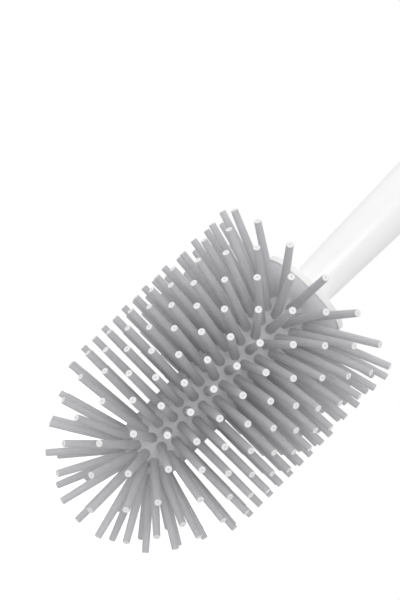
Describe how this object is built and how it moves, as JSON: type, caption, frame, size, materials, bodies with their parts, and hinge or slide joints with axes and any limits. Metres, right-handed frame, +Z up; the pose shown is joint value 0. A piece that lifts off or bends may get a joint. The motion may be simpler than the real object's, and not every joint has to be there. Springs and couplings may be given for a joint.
{
  "type": "toilet brush",
  "caption": "Toilet brush with a round head of long tapered rubber bristles, a thin flange and a plain tapered handle that the head screws onto.",
  "frame": {"origin": "on the axis at the end of the lowest bristle, the bottom centre of the brush held upright", "axes": "+Z up along the axis from the bristle head to the handle; -Y is the way that a bristle of every other ring points"},
  "size_m": [0.0758, 0.076, 0.365],
  "materials": {
    "bristle_rubber": "matt grey thermoplastic rubber, with white end faces on the bristles",
    "core_plastic": "white, satin",
    "seal_rubber": "dark grey, matt",
    "handle_plastic": "white, satin gloss",
    "cap_plastic": "white, satin gloss"
  },
  "bodies": {
    "handle": {"handle_shell": "handle_plastic", "end_cap": "cap_plastic"},
    "seal": {"seal_ring": "seal_rubber"},
    "head": {"head_core": "core_plastic", "bristle_sleeve": "bristle_rubber"}
  },
  "joints": [
    {"name": "head_out", "type": "slide", "parent": "handle", "child": "seal", "axis": [0, 0, -1], "range_m": [0, 0.012]},
    {"name": "head_turn", "type": "hinge", "parent": "seal", "child": "head", "pos_m": [0, 0, 0.10448], "axis": [0, 0, -1], "range_deg": [0, 1080]}
  ],
  "couplings": [
    {"joint": "head_turn", "follows": "head_out", "rad_per_m": 1570.8}
  ]
}
